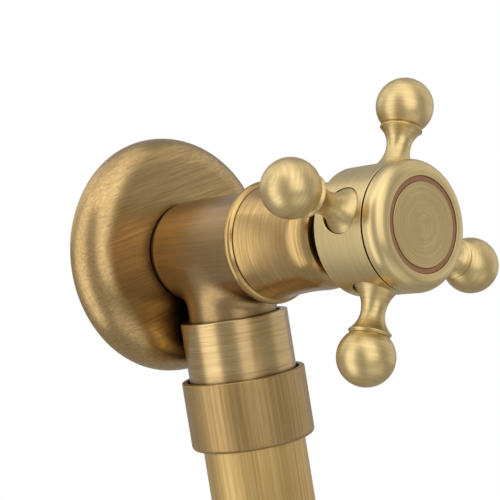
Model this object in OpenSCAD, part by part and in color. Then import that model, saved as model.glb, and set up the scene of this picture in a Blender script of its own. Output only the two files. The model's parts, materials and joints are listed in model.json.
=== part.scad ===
// Wall-mounted cross-handle shower valve with its column pipe.
// The barrel axis is the Y axis and comes out of the wall towards -Y.
// The wall is the plane y = 0, the column pipe hangs down along -Z.
// "out" values are distances out from the wall along the barrel axis.
// "down" values are distances below the barrel axis along the branch axis.

/* [Wall flange] */
// Outside diameter of the cover plate
flange_d = 60; // [54:0.5:80]
// Distance from the wall to the cover plate's face
flange_h = 9.7; // [8.5:0.1:14]
// Radius of the soft outer rim
rim_r = 7.8; // [5:0.1:8]
// Sheet thickness of the cover plate
flange_wall = 1.4; // [1:0.1:2]

/* [Wall nipple] */
// Outside diameter of the wall thread, G1/2
wall_thread_d = 20.96; // [18:0.01:26.44]
// Length of the thread behind the wall plane
wall_thread_len = 16; // [10:0.5:24]
// Water way through the nipple
nipple_bore_d = 14; // [10:0.5:16]

/* [Valve body] */
// Wall around the thread in the neck and in the front end
neck_wall = 1.42; // [1.2:0.02:2.4]
// Step from the neck up to the barrel
barrel_step = 0.85; // [0.4:0.05:4]
// Length of the barrel in front of the branch stub
barrel_reach = 6.25; // [5:0.25:20]
// Gap between the cover plate and what hangs in front of it
plate_gap = 0.35; // [0.3:0.05:3]
// Outside diameter of the thread on the stub, G1/2
stub_thread_d = 20.96; // [19:0.01:26.44]
// Step from the stub's thread up to its plain part
stub_step = 0.47; // [0.3:0.01:1]
// Length of the thread on the stub
stub_thread_len = 12; // [9:0.5:15]
// Water way through the branch
branch_bore_d = 16; // [12:0.5:17.5]

/* [Bonnet] */
// Height of the bead above the barrel
collar_rise = 1.95; // [1:0.05:4]
// Width of the bead along the barrel
collar_w = 2.7; // [2:0.1:3.4]
// Height of the bell's rear edge above the barrel
bell_rise = 1.05; // [0.5:0.05:3]
// Drop of the bell's radius from its rear edge to its front shoulder
bell_taper = 1.55; // [0.8:0.05:2.2]
// Length of the bell along the barrel
bell_len = 22.6; // [18:0.2:32]
// Radius of the bell's front shoulder
bell_shoulder_r = 4.25; // [2:0.25:4.5]

/* [Cartridge] */
// Diameter of the thread that screws into the barrel, G1/2
cartridge_thread_d = 20.86; // [20:0.01:26.34]
// Step from that thread down to the chamber's wall
chamber_step = 0.53; // [0.3:0.01:1]
// Water gap around the nose that holds the ceramic discs
nose_gap = 1.3; // [0.8:0.1:1.8]
// Wall of the nose
nose_wall = 1.1; // [0.9:0.1:1.4]
// Thickness of each ceramic disc
disc_t = 3; // [2.5:0.1:3.6]
// Diameter of the spindle
spindle_d = 9; // [7.5:0.1:10.8]
// Number of teeth on the spindle's spline
spline_teeth = 20; // [16:1:28]

/* [Cross handle] */
// Diameter of the hub
hub_d = 28.6; // [24:0.1:36]
// Distance from the bell to the hub's rear edge
hub_gap = 5.3; // [4.4:0.1:8]
// Length of the hub along its axis
hub_len = 13.9; // [11.6:0.1:20]
// Depth of the front cap
cap_len = 4.65; // [3.9:0.05:6]
// Radius of the cap's rounded edge
cap_edge_r = 3.2; // [1.5:0.1:4]
// Angle of the first spoke from straight up, towards +X
spoke_tilt = 25; // [0:1:44]
// Distance from the hub's skin to the middle of a ball end
spoke_len = 14.1; // [12:0.1:20]
// Diameter of a ball end
ball_d = 12.8; // [10.7:0.1:15.4]
// Diameter of a spoke where it meets the hub
spoke_base_d = 10; // [8:0.1:11]
// Smallest diameter of a spoke's neck
spoke_neck_d = 5.3; // [4:0.1:6.5]
// Diameter of the sharp lip behind a ball end
spoke_lip_d = 9.4; // [8:0.1:10.5]
// Thread of a spoke's root, M6
spoke_thread_d = 6; // [5:0.5:7]

/* [Cap face] */
// Outside diameter of the brown index ring
index_ring_d = 20.8; // [17:0.1:24]
// Width of the brown index ring
index_ring_w = 1.15; // [0.8:0.05:1.6]

/* [Outlet] */
// Wall of the adapter sleeve around its mouth
sleeve_wall = 1.75; // [1.4:0.05:3]
// Gap between the barrel's underside and the sleeve's top
sleeve_drop = 4.15; // [3.4:0.05:8]
// Height of bare sleeve above the union nut
sleeve_bare_h = 14.5; // [12:0.1:24]
// Wall of the union nut
nut_wall = 1.4; // [1.1:0.05:4]
// Length of the union nut's thread over the sleeve
nut_thread_len = 8.9; // [7.4:0.1:14]
// Outside diameter of the column pipe
pipe_d = 25.5; // [21:0.1:32]
// Wall of the column pipe
pipe_wall = 1.25; // [1:0.05:1.6]
// Length of pipe inside the nut above the retaining ring
pipe_grip = 2.1; // [1.7:0.1:4]
// Distance from the barrel axis down to the pipe's lower end
pipe_end_down = 150; // [100:5:1200]
// Outside diameter of the thread at the pipe's lower end, G1/2
tail_thread_d = 20.96; // [18:0.01:21]
// Length of the thread at the pipe's lower end
tail_thread_len = 14; // [10:0.5:20]

/* [Clearances] */
// Radial clearance of a screw thread
thread_gap = 0.05; // [0.02:0.01:0.1]
// Radial clearance of a turning fit
running_gap = 0.06; // [0.02:0.01:0.1]
// Clearance of a piece that is laid or pushed in
fit_gap = 0.1; // [0.05:0.01:0.2]

/* [Hidden] */

$fn = 96;
eps = 0.01;
far = 60;

// Wall flange
flange_r = flange_d / 2;
rim_tuck = 1.4;
rim_used = min(rim_r, flange_h - rim_tuck - 0.3);
rim_mid = flange_h - rim_used - 0.2;
rim_centre_r = flange_r - rim_used;
neck_d = max(wall_thread_d, cartridge_thread_d + 2 * thread_gap) + 2 * neck_wall;
flange_bore_r = neck_d / 2 + fit_gap;
lip_inner_r = flange_r - rim_tuck - flange_wall;
gasket_t = 3;
gasket_w = 2.4;
gasket_ledge_t = 1.2;
rim_inner_r = rim_used - flange_wall;
rim_join = rim_mid + sqrt(rim_inner_r * rim_inner_r - pow(lip_inner_r - rim_centre_r, 2));

// Wall nipple and strainer
relief_start = 1;
relief_len = 1.4;
relief_depth = 0.9;
neck_rear = 2.2;
nipple_front = 10.4;
strainer_t = 1.4;
strainer_seat_r = nipple_bore_d / 2 + 1.6;
strainer_mesh_t = 0.5;
strainer_hole_r = 0.6;
strainer_pitch = 2.1;

// Valve body
shoulder_r = 2.6;
stub_d = stub_thread_d + 2 * stub_step;
barrel_d = max(neck_d + 2 * barrel_step, stub_d + 3.4);
chamber_d = cartridge_thread_d - 2 * chamber_step;
mouth_gap = 0.65;
sleeve_d = stub_d + 2 * (mouth_gap + sleeve_wall);
sleeve_top_down = barrel_d / 2 + sleeve_drop;
nut_top_down = sleeve_top_down + sleeve_bare_h;
nut_thread_r = max(sleeve_d / 2 + 0.6, pipe_d / 2 + 1.2);
nut_d = 2 * (nut_thread_r + nut_wall);
facing_d = flange_r + 0.5 > nut_top_down ? nut_d : sleeve_d;
branch_out = flange_h + plate_gap + facing_d / 2;
barrel_front = branch_out + stub_d / 2 + barrel_reach;
collar_d = barrel_d + 2 * collar_rise;
bell_rear_d = barrel_d + 2 * bell_rise;
bell_front_d = bell_rear_d - 2 * bell_taper;
seat_wall_rear = 11;
seat_out = 13;
seat_bore_d = 10.4;
thread_start = barrel_front - 7.6;
spigot_d = neck_d;
spigot_front = barrel_front + collar_w - 0.3;
stub_plain_down = sleeve_top_down + 3.1;
stub_end_down = stub_plain_down + stub_thread_len;
flare_d = min(stub_d + 3.2, barrel_d - 0.3);
flare_top_down = barrel_d / 2 - 4.75;
flare_bottom_down = barrel_d / 2 + 2.25;

// Cartridge
nose_d = chamber_d - 2 * nose_gap;
disc_d = nose_d - 2 * nose_wall - 2 * fit_gap;
nose_rear = seat_out + 0.8;
seal_t = 2.4;
seal_hole_d = 10.8;
fixed_rear = seat_out + seal_t;
moving_rear = fixed_rear + disc_t + 0.02;
nose_bore_d = disc_d + 2 * fit_gap;
slot_w = 3;
slot_depth = 1.4;
slot_len = 12;
moving_front = moving_rear + disc_t;
port_in_r = 2.2;
port_out_r = 6;
port_angle = 76;
key_w = 2;
key_reach = disc_d / 2 + 0.7;
head_rear = moving_front + 2.6;
head_t = 2.4;
head_r = disc_d / 2 - 1.2;
lug_r = disc_d / 2 - 0.2;
lug_angle = 100;
stop_free_angle = 94;
stop_gap_angle = 2;
stop_inner_r = head_r + 0.2;
thrust_t = 1;
stem_shoulder = head_rear + head_t + thrust_t + fit_gap;
window_rear = moving_rear + 0.6;
window_len = 5;
window_w = 9;
o_ring_t = 1.5;
o_ring_outs = [stem_shoulder + 3.2, stem_shoulder + 7.6];
flange_out = spigot_front + 0.6;
housing_flange_t = 1.6;
housing_flange_d = neck_d - 0.4;
hex_front = flange_out + housing_flange_t + 5.8;
housing_neck_d = spindle_d + 6.8;
bell_rear = barrel_front + collar_w + 0.2;
bell_front = bell_rear + bell_len;
housing_front = bell_front + 0.5;
bell_wall = 1.3;
bell_face_t = 3.5;
bell_bore_r = housing_neck_d / 2 + fit_gap;
bell_shoulder = min(bell_shoulder_r, bell_front_d / 2 - bell_bore_r);
hex_af = bell_front_d - 2 * bell_wall - 2.9;
shroud_ring_t = 1.6;
shroud_ring_out = bell_front - bell_face_t / 2;
circlip_t = 0.9;
circlip_rear = housing_front + 0.3;

// Handle
hub_rear = bell_front + hub_gap;
hub_front = hub_rear + hub_len;
hub_r = hub_d / 2;
insert_d = spindle_d + 4;
insert_rear = hub_rear + 0.2;
web_t = 1.5;
web_front = hub_front - 3;
web_rear = web_front - web_t;
spoke_out = web_front - spoke_thread_d / 2 - 0.4;
spindle_front = web_rear - 0.4;
spline_rear = circlip_rear + circlip_t + 1;
spline_r = spindle_d / 2 - 0.4;
spline_root_r = spline_r - 0.5;
screw_d = 5;
screw_len = 12;
screw_head_d = 8.6;
screw_head_t = 2.6;
split_gap = 0.1;
cap_rear = hub_front + split_gap;
cap_front = cap_rear + cap_len;
cap_plug_d = hub_d - 6.6;
cap_plug_len = 2.6;
cap_hollow_d = cap_plug_d - 4;
cap_recess_t = 1.7;
cap_web_t = 1.4;
cap_edge = min(cap_edge_r, cap_len - 0.3, (hub_d - index_ring_d) / 2 - 0.1);
centre_disc_d = index_ring_d - 2 * index_ring_w - 0.1;
spoke_socket_d = spoke_base_d + 0.3;
spoke_seat = sqrt(hub_r * hub_r - pow(spoke_base_d / 2, 2)) - 0.35;
spoke_root = insert_d / 2 + 1.7;
ball_reach = hub_r + spoke_len;
lip_reach = ball_reach - sqrt(pow(ball_d / 2, 2) - pow(spoke_lip_d / 2 - 0.4, 2));
lip_t = 0.7;
neck_reach = spoke_seat + 0.56 * (lip_reach - lip_t - spoke_seat);

// Outlet
stub_thread_r = stub_thread_d / 2;
sleeve_mouth_r = stub_d / 2 + mouth_gap;
sleeve_mouth_h = stub_plain_down + 0.5 - sleeve_top_down;
sleeve_ledge_down = stub_end_down + 0.1;
sleeve_washer_t = 2;
sleeve_end_down = nut_top_down + nut_thread_len;
nut_lip_t = 2;
union_washer_t = 2;
pipe_top_down = sleeve_end_down + union_washer_t;
ring_t = 1.9;
ring_groove_depth = 0.55;
ring_down = pipe_top_down + pipe_grip;
nut_bottom_down = ring_down + ring_t + nut_lip_t;
ring_out_r = nut_thread_r - 0.6;
outlet_bore_r = branch_bore_d / 2 + 0.5;
tail_bore_d = 15;
tail_plug_h = 12;

// Points along a circle's arc, from angle a0 to a1
function arc(centre, r, a0, a1, steps = 12) =
    [for (i = [0:steps]) let (a = a0 + (a1 - a0) * i / steps)
        centre + r * [cos(a), sin(a)]];

// Radius of the arc that leaves [0, 0] flat and passes through [run, rise]
function flat_arc_r(run, rise) = (run * run + rise * rise) / (2 * rise);

// Outline of a ring of pointed teeth
function teeth(count, r_tip, r_root) =
    [for (i = [0:2 * count - 1]) let (a = 180 * i / count, r = i % 2 == 0 ? r_tip : r_root)
        r * [cos(a), sin(a)]];

// Turns a shape that stands on +Z so that it comes out of the wall
module along_barrel() rotate([90, 0, 0]) children();

// Turns with the handle, as along_barrel with the first spoke along +Y
module along_handle() along_barrel() rotate([0, 0, -spoke_tilt]) children();

// Puts a shape on the branch axis
module along_branch() translate([0, -branch_out, 0]) children();

// Ring between two radii, from one height to another
module ring(r_out, r_in, from, to) {
    difference() {
        translate([0, 0, from]) cylinder(r = r_out, h = to - from);
        translate([0, 0, from - 1]) cylinder(r = r_in, h = to - from + 2);
    }
}

// Two opposite sectors of a ring, centred on the X axis
module sector_pair(r_out, r_in, angle, from, to) {
    intersection() {
        ring(r_out, r_in, from, to);
        union() for (side = [0, 180]) rotate([0, 0, side]) wedge(angle, from - 1, to + 1);
    }
}

// Wedge of a given angle, centred on the X axis; under 180 degrees
module wedge(angle, from, to) {
    reach = far / cos(angle / 2);
    translate([0, 0, from]) linear_extrude(to - from)
        polygon([[0, 0], reach * [cos(angle / 2), -sin(angle / 2)],
                 reach * [cos(angle / 2), sin(angle / 2)]]);
}

module o_ring(centre_r, t) rotate_extrude() translate([centre_r, 0]) circle(d = t, $fn = 32);

module wall_flange() {
    color("#b08d4f") along_barrel() rotate_extrude() polygon(concat(
        [[lip_inner_r, 0], [flange_r - rim_tuck, 0]],
        arc([flange_r - rim_tuck, rim_tuck], rim_tuck, -90, 0, 6),
        arc([rim_centre_r, rim_mid], rim_used, 0, 86, 20),
        [[flange_bore_r + 0.4, flange_h], [flange_bore_r, flange_h - 0.3],
         [flange_bore_r, flange_h - flange_wall]],
        [[rim_centre_r, rim_mid + rim_inner_r]],
        [for (p = arc([rim_centre_r, rim_mid], rim_inner_r, 80, 10, 14))
            if (p.x < lip_inner_r) p],
        [[lip_inner_r, rim_join], [lip_inner_r, gasket_t + gasket_ledge_t],
         [lip_inner_r - gasket_w, gasket_t + gasket_ledge_t],
         [lip_inner_r - gasket_w, gasket_t], [lip_inner_r, gasket_t]]
    ));
}

module flange_gasket() {
    color("#2b2926") along_barrel()
        ring(lip_inner_r - eps, lip_inner_r - gasket_w, 0, gasket_t - eps);
}

module wall_nipple() {
    r = wall_thread_d / 2;
    color("#c9a75e") along_barrel() rotate_extrude() polygon([
        [strainer_seat_r, -wall_thread_len], [r - 0.8, -wall_thread_len],
        [r, -wall_thread_len + 0.8], [r, relief_start],
        [r - relief_depth, relief_start], [r - relief_depth, relief_start + relief_len],
        [r, relief_start + relief_len], [r, nipple_front],
        [nipple_bore_d / 2, nipple_front],
        [nipple_bore_d / 2, -wall_thread_len + strainer_t + fit_gap],
        [strainer_seat_r, -wall_thread_len + strainer_t + fit_gap]
    ]);
}

module inlet_strainer() {
    rim_in = nipple_bore_d / 2;
    color("#b9bdc0") along_barrel() translate([0, 0, -wall_thread_len]) {
        ring(strainer_seat_r - fit_gap, rim_in - 0.4, 0, strainer_t);
        difference() {
            cylinder(r = rim_in - 0.2, h = strainer_mesh_t);
            for (i = [-2:2], j = [-2:2])
                translate([i * strainer_pitch, j * strainer_pitch, -1])
                    cylinder(r = strainer_hole_r, h = 3, $fn = 24);
        }
    }
}

module valve_body() {
    color("#8f6b3c") difference() {
        union() {
            along_barrel() rotate_extrude() polygon(concat(
                [[0, neck_rear], [neck_d / 2, neck_rear], [neck_d / 2, flange_h + 0.1],
                 [barrel_d / 2 - shoulder_r, flange_h + 0.1]],
                arc([barrel_d / 2 - shoulder_r, flange_h + 0.1 + shoulder_r], shoulder_r,
                    -90, 0, 8),
                [[barrel_d / 2, barrel_front], [spigot_d / 2, barrel_front],
                 [spigot_d / 2, spigot_front], [0, spigot_front]]
            ));
            along_branch() translate([0, 0, -stub_end_down])
                cylinder(d = stub_thread_d, h = stub_end_down);
            along_branch() translate([0, 0, -stub_plain_down])
                cylinder(d = stub_d, h = stub_plain_down);
            along_branch() translate([0, 0, -flare_bottom_down])
                cylinder(d1 = stub_d, d2 = flare_d, h = flare_bottom_down - flare_top_down);
        }
        along_barrel() {
            translate([0, 0, neck_rear - 1])
                cylinder(d = wall_thread_d + 2 * thread_gap, h = seat_wall_rear - neck_rear + 1);
            translate([0, 0, seat_wall_rear - 1]) cylinder(d = seat_bore_d, h = 4);
            translate([0, 0, seat_out]) cylinder(d = chamber_d, h = thread_start - seat_out + 1);
            translate([0, 0, thread_start])
                cylinder(d = cartridge_thread_d + 2 * thread_gap, h = far);
        }
        along_branch() translate([0, 0, -stub_end_down - 1])
            cylinder(d = branch_bore_d, h = stub_end_down + 1);
    }
}

module seat_seal() {
    color("#33302c") along_barrel()
        ring(disc_d / 2 - eps, seal_hole_d / 2, seat_out, fixed_rear - eps);
}

module fixed_disc() {
    color("#e7e2d4") along_barrel() difference() {
        union() {
            translate([0, 0, fixed_rear]) cylinder(d = disc_d, h = disc_t);
            translate([-key_w / 2, -key_reach, fixed_rear])
                cube([key_w, 2 * key_reach, disc_t]);
        }
        sector_pair(port_out_r, port_in_r, port_angle, fixed_rear - 1, fixed_rear + disc_t + 1);
    }
}

module moving_disc() {
    color("#d9d4c6") along_barrel() rotate([0, 0, 90]) difference() {
        translate([0, 0, moving_rear]) cylinder(d = disc_d - 0.1, h = disc_t);
        sector_pair(port_out_r, port_in_r, port_angle, moving_rear - 1, moving_front + 1);
        translate([-slot_w / 2, -slot_len / 2, moving_front - slot_depth])
            cube([slot_w, slot_len, slot_depth + 1]);
    }
}

module cartridge_housing() {
    color("#c9a75e") along_barrel() difference() {
        union() {
            translate([0, 0, nose_rear]) cylinder(d = nose_d, h = flange_out - nose_rear);
            translate([0, 0, thread_start + 0.4])
                cylinder(d = cartridge_thread_d, h = flange_out - thread_start - 0.4);
            translate([0, 0, flange_out]) cylinder(d = housing_flange_d, h = housing_flange_t);
            translate([0, 0, flange_out])
                cylinder(d = hex_af / cos(30), h = hex_front - flange_out, $fn = 6);
            translate([0, 0, flange_out])
                cylinder(d = housing_neck_d, h = housing_front - flange_out);
        }
        translate([0, 0, nose_rear - 1])
            cylinder(d = nose_bore_d, h = head_rear - nose_rear + 1);
        difference() {
            translate([0, 0, head_rear - eps])
                cylinder(d = nose_bore_d, h = stem_shoulder - head_rear + eps);
            difference() {
                translate([0, 0, head_rear - 1])
                    cylinder(d = nose_bore_d + 2, h = head_t + 1);
                translate([0, 0, head_rear - 2]) cylinder(r = stop_inner_r, h = head_t + 4);
                rotate([0, 0, stop_free_angle / 2 - stop_gap_angle])
                    stop_opening(head_rear - 2, head_rear + head_t + 2);
            }
        }
        translate([0, 0, stem_shoulder - 1])
            cylinder(d = spindle_d + 2 * running_gap, h = far);
        translate([-key_w / 2 - fit_gap, -far, nose_rear - 1])
            cube([key_w + 2 * fit_gap, 2 * far, fixed_rear + disc_t - nose_rear + 1 + fit_gap]);
        translate([-far, -window_w / 2, window_rear]) cube([2 * far, window_w, window_len]);
        translate([0, 0, shroud_ring_out])
            ring(far, housing_neck_d / 2 - shroud_ring_t + 0.1,
                 -shroud_ring_t / 2 - 0.1, shroud_ring_t / 2 + 0.1);
    }
}

// Space that the spindle's lug sweeps, from its rest place to the end of its turn
module stop_opening(from, to) {
    half = (lug_angle + stop_free_angle) / 4;
    for (side = [-1, 1]) rotate([0, 0, side * half]) wedge(2 * half + 0.1, from, to);
}

module cartridge_gasket() {
    color("#33302c") along_barrel()
        ring(housing_flange_d / 2, cartridge_thread_d / 2 + fit_gap,
             spigot_front + eps, flange_out - eps);
}

module spindle() {
    r = spindle_d / 2;
    color("#c9a75e") along_barrel() difference() {
        union() {
            rotate([0, 0, 90]) translate([-slot_w / 2 + 0.05, -slot_len / 2 + 0.1,
                                          moving_front - slot_depth + 0.1])
                cube([slot_w - 0.1, slot_len - 0.2, head_rear - moving_front + slot_depth]);
            translate([0, 0, head_rear]) cylinder(r = head_r, h = head_t);
            intersection() {
                translate([0, 0, head_rear + 0.1]) cylinder(r = lug_r, h = head_t - 0.1);
                wedge(lug_angle, head_rear, head_rear + head_t + 1);
            }
            translate([0, 0, head_rear]) cylinder(r = r, h = spline_rear - head_rear);
            translate([0, 0, spline_rear - 1]) linear_extrude(spindle_front - spline_rear + 1)
                polygon(teeth(spline_teeth, spline_r, spline_root_r));
        }
        for (out = o_ring_outs)
            translate([0, 0, out]) ring(far, r - o_ring_t + 0.02, -o_ring_t / 2 - 0.1,
                                        o_ring_t / 2 + 0.1);
        ring(far, r - 0.8, circlip_rear, circlip_rear + circlip_t + 0.1);
        translate([0, 0, spindle_front - screw_len + web_t + 0.2])
            cylinder(d = screw_d + 2 * thread_gap, h = far);
    }
}

module thrust_washer() {
    color("#f1efe8") along_barrel()
        ring(lug_r, spindle_d / 2 + fit_gap, head_rear + head_t + 0.02,
             head_rear + head_t + thrust_t);
}

module spindle_o_rings() {
    color("#33302c") along_barrel() for (out = o_ring_outs)
        translate([0, 0, out]) o_ring(spindle_d / 2 - o_ring_t / 2 + running_gap - 0.02, o_ring_t);
}

module circlip() {
    color("#b9bdc0") along_barrel() difference() {
        ring(spindle_d / 2 + 1.4, spindle_d / 2 - 0.78, circlip_rear + 0.05,
             circlip_rear + circlip_t);
        wedge(40, circlip_rear - 1, circlip_rear + circlip_t + 1);
    }
}

module collar_ring() {
    r = collar_d / 2;
    bead = collar_w / 2;
    mid = barrel_front + bead;
    color("#c8a765") along_barrel() rotate_extrude() polygon(concat(
        [[spigot_d / 2 + fit_gap, barrel_front + eps]],
        arc([r - bead, mid], bead - eps, -90, 62, 14),
        [[r - bead * 0.62, barrel_front + collar_w],
         [spigot_d / 2 + fit_gap, barrel_front + collar_w]]
    ));
}

module bonnet_shroud() {
    rear_r = bell_rear_d / 2;
    front_r = bell_front_d / 2;
    shoulder_out = bell_front - bell_shoulder;
    color("#b8985a") along_barrel() rotate_extrude() polygon(concat(
        [[rear_r - bell_wall, bell_rear], [rear_r, bell_rear],
         [rear_r - 0.55, bell_rear + 3], [(rear_r + front_r) / 2 - 0.45, bell_rear + bell_len / 2]],
        arc([front_r - bell_shoulder, shoulder_out], bell_shoulder, 0, 90, 12),
        [[bell_bore_r - eps, bell_front], [bell_bore_r - eps, bell_front - bell_face_t],
         [front_r - bell_wall, bell_front - bell_face_t - 1.6]]
    ));
}

module shroud_o_ring() {
    color("#33302c") along_barrel() translate([0, 0, shroud_ring_out])
        o_ring(housing_neck_d / 2 - shroud_ring_t / 2 + fit_gap - 0.02, shroud_ring_t - 0.1);
}

module handle_hub() {
    color("#c0a268") along_handle() difference() {
        rotate_extrude() polygon([
            [0, hub_rear], [hub_r - 0.15, hub_rear], [hub_r, hub_rear + 0.15],
            [hub_r, hub_front - 0.15], [hub_r - 0.15, hub_front], [0, hub_front]
        ]);
        translate([0, 0, hub_rear - 1]) cylinder(d = insert_d + 2 * fit_gap, h = web_rear - hub_rear + 1);
        translate([0, 0, web_rear - 1]) cylinder(d = screw_d + 0.5, h = web_t + 2);
        translate([0, 0, web_front]) cylinder(d = cap_plug_d + 2 * fit_gap, h = hub_len);
        for (k = [0:3]) rotate([0, 0, -90 * k]) translate([0, 0, spoke_out]) rotate([-90, 0, 0]) {
            translate([0, 0, spoke_seat - 0.1]) cylinder(d = spoke_socket_d, h = hub_r);
            translate([0, 0, spoke_root - 0.3])
                cylinder(d = spoke_thread_d + 2 * thread_gap, h = hub_r);
        }
    }
}

module spline_insert() {
    color("#f1efe8") along_barrel() difference() {
        translate([0, 0, insert_rear]) cylinder(d = insert_d, h = web_rear - insert_rear - 0.05);
        translate([0, 0, insert_rear - 1]) linear_extrude(far)
            polygon(teeth(spline_teeth, spline_r + running_gap + 0.02,
                          spline_root_r + running_gap + 0.02));
    }
}

module handle_screw() {
    color("#b9bdc0") along_barrel() difference() {
        union() {
            translate([0, 0, web_front + 0.02]) cylinder(d = screw_head_d, h = screw_head_t);
            translate([0, 0, web_front - screw_len + 0.3]) cylinder(d = screw_d, h = screw_len - 0.2);
        }
        translate([0, 0, web_front + screw_head_t - 1.8]) cylinder(d = 4 / cos(30), h = 4, $fn = 6);
    }
}

// One turned spoke along +Z, measured from the handle's axis
module spoke_shape() {
    base_r = spoke_base_d / 2;
    neck_r = spoke_neck_d / 2;
    lip_r = spoke_lip_d / 2;
    lip_rear = lip_reach - lip_t;
    rear_r = flat_arc_r(neck_reach - spoke_seat, base_r - neck_r);
    front_r = flat_arc_r(lip_rear - neck_reach, lip_r - neck_r);
    rear_angle = asin((neck_reach - spoke_seat) / rear_r);
    front_angle = asin((lip_rear - neck_reach) / front_r);
    rotate_extrude() polygon(concat(
        [[0, spoke_root], [spoke_thread_d / 2, spoke_root], [spoke_thread_d / 2, spoke_seat]],
        arc([neck_r + rear_r, neck_reach], rear_r, 180 + rear_angle, 180, 12),
        arc([neck_r + front_r, neck_reach], front_r, 180, 180 - front_angle, 10),
        [[lip_r - 0.4, lip_reach + 0.05], [0, ball_reach]]
    ));
    translate([0, 0, ball_reach]) sphere(d = ball_d);
}

module spoke_at(k) {
    color("#c4a566") along_handle() rotate([0, 0, -90 * k]) translate([0, 0, spoke_out])
        rotate([-90, 0, 0]) spoke_shape();
}

module handle_cap() {
    r = hub_r;
    color("#c0a268") along_barrel() rotate_extrude() polygon(concat(
        [[cap_hollow_d / 2, cap_rear - cap_plug_len], [cap_plug_d / 2, cap_rear - cap_plug_len],
         [cap_plug_d / 2, cap_rear], [r - 0.15, cap_rear], [r, cap_rear + 0.15]],
        arc([r - cap_edge, cap_front - cap_edge], cap_edge, 0, 90, 10),
        [[index_ring_d / 2, cap_front], [index_ring_d / 2, cap_front - cap_recess_t],
         [0, cap_front - cap_recess_t], [0, cap_front - cap_recess_t - cap_web_t],
         [cap_hollow_d / 2, cap_front - cap_recess_t - cap_web_t]]
    ));
}

module index_ring() {
    color("#8a5a3c") along_barrel()
        ring(index_ring_d / 2 - 0.03, index_ring_d / 2 - index_ring_w,
             cap_front - cap_recess_t + 0.01, cap_front - 0.25);
}

module centre_disc() {
    r = centre_disc_d / 2;
    color("#b79a5c") along_barrel() rotate_extrude() polygon([
        [0, cap_front - cap_recess_t + 0.01], [r, cap_front - cap_recess_t + 0.01],
        [r, cap_front - 0.2], [r - 0.15, cap_front - 0.05], [0, cap_front - 0.05]
    ]);
}

module adapter_sleeve() {
    r = sleeve_d / 2;
    thread_r = nut_thread_r - thread_gap;
    color("#ab8a4c") along_branch() mirror([0, 0, 1]) difference() {
        union() {
            rotate_extrude() polygon([
                [0, sleeve_top_down], [r - 0.2, sleeve_top_down], [r, sleeve_top_down + 0.2],
                [r, sleeve_end_down], [0, sleeve_end_down]
            ]);
            translate([0, 0, nut_top_down + 1.2])
                cylinder(r = thread_r, h = sleeve_end_down - nut_top_down - 1.2);
        }
        translate([0, 0, sleeve_top_down - 1]) cylinder(r = sleeve_mouth_r, h = sleeve_mouth_h + 1);
        translate([0, 0, sleeve_top_down])
            cylinder(r = stub_thread_r + thread_gap,
                     h = sleeve_ledge_down + sleeve_washer_t - sleeve_top_down);
        translate([0, 0, sleeve_top_down]) cylinder(r = outlet_bore_r, h = far);
    }
}

module sleeve_washer() {
    color("#33302c") along_branch() mirror([0, 0, 1])
        ring(stub_thread_r, outlet_bore_r, stub_end_down + 0.02,
             sleeve_ledge_down + sleeve_washer_t - 0.02);
}

module union_nut() {
    r = nut_d / 2;
    color("#8f7138") along_branch() mirror([0, 0, 1]) difference() {
        rotate_extrude() polygon(concat(
            [[0, nut_top_down], [r - 0.3, nut_top_down], [r, nut_top_down + 0.3]],
            arc([r - 1, nut_bottom_down - 1], 1, 0, 90, 6),
            [[0, nut_bottom_down]]
        ));
        translate([0, 0, nut_top_down - 1])
            cylinder(r = nut_thread_r, h = nut_bottom_down - nut_lip_t - nut_top_down + 1);
        translate([0, 0, nut_top_down]) cylinder(r = pipe_d / 2 + 0.2, h = far);
    }
}

module union_washer() {
    color("#33302c") along_branch() mirror([0, 0, 1])
        ring(nut_thread_r - 0.4, pipe_d / 2 - pipe_wall - 2, sleeve_end_down + 0.01,
             pipe_top_down - 0.01);
}

module retaining_ring() {
    color("#c9a75e") along_branch() mirror([0, 0, 1]) difference() {
        ring(ring_out_r, pipe_d / 2 - ring_groove_depth + 0.03, ring_down + 0.05,
             ring_down + ring_t - 0.02);
        wedge(24, ring_down - 1, ring_down + ring_t + 1);
    }
}

module column_pipe() {
    color("#b4914c") along_branch() mirror([0, 0, 1]) difference() {
        translate([0, 0, pipe_top_down]) cylinder(d = pipe_d, h = pipe_end_down - pipe_top_down);
        translate([0, 0, pipe_top_down - 1]) cylinder(d = pipe_d - 2 * pipe_wall, h = pipe_end_down);
        ring(far, pipe_d / 2 - ring_groove_depth, ring_down, ring_down + ring_t);
    }
}

module pipe_nipple() {
    r = tail_thread_d / 2;
    color("#c9a75e") along_branch() mirror([0, 0, 1]) rotate_extrude() polygon([
        [tail_bore_d / 2, pipe_end_down - tail_plug_h],
        [pipe_d / 2 - pipe_wall - fit_gap, pipe_end_down - tail_plug_h],
        [pipe_d / 2 - pipe_wall - fit_gap, pipe_end_down + 0.02],
        [pipe_d / 2, pipe_end_down + 0.02], [pipe_d / 2, pipe_end_down + 2],
        [r, pipe_end_down + 2], [r, pipe_end_down + 1.2 + tail_thread_len],
        [r - 0.8, pipe_end_down + 2 + tail_thread_len],
        [tail_bore_d / 2, pipe_end_down + 2 + tail_thread_len]
    ]);
}

wall_flange();
flange_gasket();
wall_nipple();
inlet_strainer();
valve_body();
seat_seal();
fixed_disc();
moving_disc();
cartridge_housing();
cartridge_gasket();
spindle();
thrust_washer();
spindle_o_rings();
circlip();
collar_ring();
bonnet_shroud();
shroud_o_ring();
handle_hub();
spline_insert();
handle_screw();
spoke_at(0);  // spoke_top
spoke_at(1);  // spoke_right
spoke_at(2);  // spoke_bottom
spoke_at(3);  // spoke_left
handle_cap();
index_ring();
centre_disc();
adapter_sleeve();
sleeve_washer();
union_nut();
union_washer();
retaining_ring();
column_pipe();
pipe_nipple();
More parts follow.
